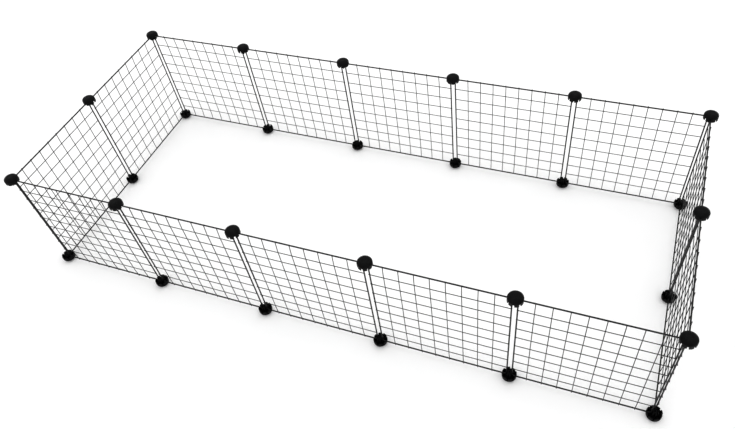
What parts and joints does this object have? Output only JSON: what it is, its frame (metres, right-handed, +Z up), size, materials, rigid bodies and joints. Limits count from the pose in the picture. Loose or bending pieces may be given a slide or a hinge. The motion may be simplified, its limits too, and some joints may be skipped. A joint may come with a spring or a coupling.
{
  "type": "pet playpen",
  "caption": "Open rectangular playpen for small pets: square welded wire panels stand edge to edge on the floor, held together at their corners by round push-on connectors.",
  "frame": {"origin": "on the floor at the centre of the pen, in the plane of the lower connectors' flat crowns", "axes": "+X along the long side, +Y from the front row of panels to the back row, +Z up"},
  "size_m": [1.8394, 0.7588, 0.3718],
  "materials": {
    "wire": "black powder coat on welded steel wire, fine orange peel, satin",
    "connector": "moulded black plastic, fine spark texture, low satin sheen"
  },
  "bodies": {
    "base": {"bottom_connector_front_1": "connector", "bottom_connector_front_2": "connector", "bottom_connector_front_3": "connector", "bottom_connector_front_4": "connector", "bottom_connector_front_5": "connector", "bottom_connector_front_6": "connector", "bottom_connector_right_1": "connector", "bottom_connector_back_6": "connector", "bottom_connector_back_5": "connector", "bottom_connector_back_4": "connector", "bottom_connector_back_3": "connector", "bottom_connector_back_2": "connector", "bottom_connector_back_1": "connector", "bottom_connector_left_1": "connector", "front_panel_2": "wire", "front_panel_4": "wire", "right_panel_1": "wire", "back_panel_5": "wire", "back_panel_3": "wire", "back_panel_1": "wire", "left_panel_1": "wire"},
    "front_panel_1": {"front_panel_1": "wire"},
    "top_connector_front_1": {"top_connector_front_1": "connector"},
    "top_connector_front_2": {"top_connector_front_2": "connector"},
    "front_panel_3": {"front_panel_3": "wire"},
    "top_connector_front_3": {"top_connector_front_3": "connector"},
    "top_connector_front_4": {"top_connector_front_4": "connector"},
    "front_panel_5": {"front_panel_5": "wire"},
    "top_connector_front_5": {"top_connector_front_5": "connector"},
    "top_connector_front_6": {"top_connector_front_6": "connector"},
    "right_panel_2": {"right_panel_2": "wire"},
    "top_connector_right_1": {"top_connector_right_1": "connector"},
    "top_connector_back_6": {"top_connector_back_6": "connector"},
    "back_panel_4": {"back_panel_4": "wire"},
    "top_connector_back_5": {"top_connector_back_5": "connector"},
    "top_connector_back_4": {"top_connector_back_4": "connector"},
    "back_panel_2": {"back_panel_2": "wire"},
    "top_connector_back_3": {"top_connector_back_3": "connector"},
    "top_connector_back_2": {"top_connector_back_2": "connector"},
    "left_panel_2": {"left_panel_2": "wire"},
    "top_connector_back_1": {"top_connector_back_1": "connector"},
    "top_connector_left_1": {"top_connector_left_1": "connector"}
  },
  "joints": [
    {"name": "lift_front_panel_1", "type": "slide", "parent": "base", "child": "front_panel_1", "axis": [0, 0, 1], "range_m": [0, 0.38]},
    {"name": "pull_off_top_connector_front_1", "type": "slide", "parent": "front_panel_1", "child": "top_connector_front_1", "axis": [0, 0, 1], "range_m": [0, 0.04]},
    {"name": "pull_off_top_connector_front_2", "type": "slide", "parent": "front_panel_1", "child": "top_connector_front_2", "axis": [0, 0, 1], "range_m": [0, 0.04]},
    {"name": "lift_front_panel_3", "type": "slide", "parent": "base", "child": "front_panel_3", "axis": [0, 0, 1], "range_m": [0, 0.38]},
    {"name": "pull_off_top_connector_front_3", "type": "slide", "parent": "front_panel_3", "child": "top_connector_front_3", "axis": [0, 0, 1], "range_m": [0, 0.04]},
    {"name": "pull_off_top_connector_front_4", "type": "slide", "parent": "front_panel_3", "child": "top_connector_front_4", "axis": [0, 0, 1], "range_m": [0, 0.04]},
    {"name": "lift_front_panel_5", "type": "slide", "parent": "base", "child": "front_panel_5", "axis": [0, 0, 1], "range_m": [0, 0.38]},
    {"name": "pull_off_top_connector_front_5", "type": "slide", "parent": "front_panel_5", "child": "top_connector_front_5", "axis": [0, 0, 1], "range_m": [0, 0.04]},
    {"name": "pull_off_top_connector_front_6", "type": "slide", "parent": "front_panel_5", "child": "top_connector_front_6", "axis": [0, 0, 1], "range_m": [0, 0.04]},
    {"name": "lift_right_panel_2", "type": "slide", "parent": "base", "child": "right_panel_2", "axis": [0, 0, 1], "range_m": [0, 0.38]},
    {"name": "pull_off_top_connector_right_1", "type": "slide", "parent": "right_panel_2", "child": "top_connector_right_1", "axis": [0, 0, 1], "range_m": [0, 0.04]},
    {"name": "pull_off_top_connector_back_6", "type": "slide", "parent": "right_panel_2", "child": "top_connector_back_6", "axis": [0, 0, 1], "range_m": [0, 0.04]},
    {"name": "lift_back_panel_4", "type": "slide", "parent": "base", "child": "back_panel_4", "axis": [0, 0, 1], "range_m": [0, 0.38]},
    {"name": "pull_off_top_connector_back_5", "type": "slide", "parent": "back_panel_4", "child": "top_connector_back_5", "axis": [0, 0, 1], "range_m": [0, 0.04]},
    {"name": "pull_off_top_connector_back_4", "type": "slide", "parent": "back_panel_4", "child": "top_connector_back_4", "axis": [0, 0, 1], "range_m": [0, 0.04]},
    {"name": "lift_back_panel_2", "type": "slide", "parent": "base", "child": "back_panel_2", "axis": [0, 0, 1], "range_m": [0, 0.38]},
    {"name": "pull_off_top_connector_back_3", "type": "slide", "parent": "back_panel_2", "child": "top_connector_back_3", "axis": [0, 0, 1], "range_m": [0, 0.04]},
    {"name": "pull_off_top_connector_back_2", "type": "slide", "parent": "back_panel_2", "child": "top_connector_back_2", "axis": [0, 0, 1], "range_m": [0, 0.04]},
    {"name": "lift_left_panel_2", "type": "slide", "parent": "base", "child": "left_panel_2", "axis": [0, 0, 1], "range_m": [0, 0.38]},
    {"name": "pull_off_top_connector_back_1", "type": "slide", "parent": "left_panel_2", "child": "top_connector_back_1", "axis": [0, 0, 1], "range_m": [0, 0.04]},
    {"name": "pull_off_top_connector_left_1", "type": "slide", "parent": "left_panel_2", "child": "top_connector_left_1", "axis": [0, 0, 1], "range_m": [0, 0.04]}
  ]
}
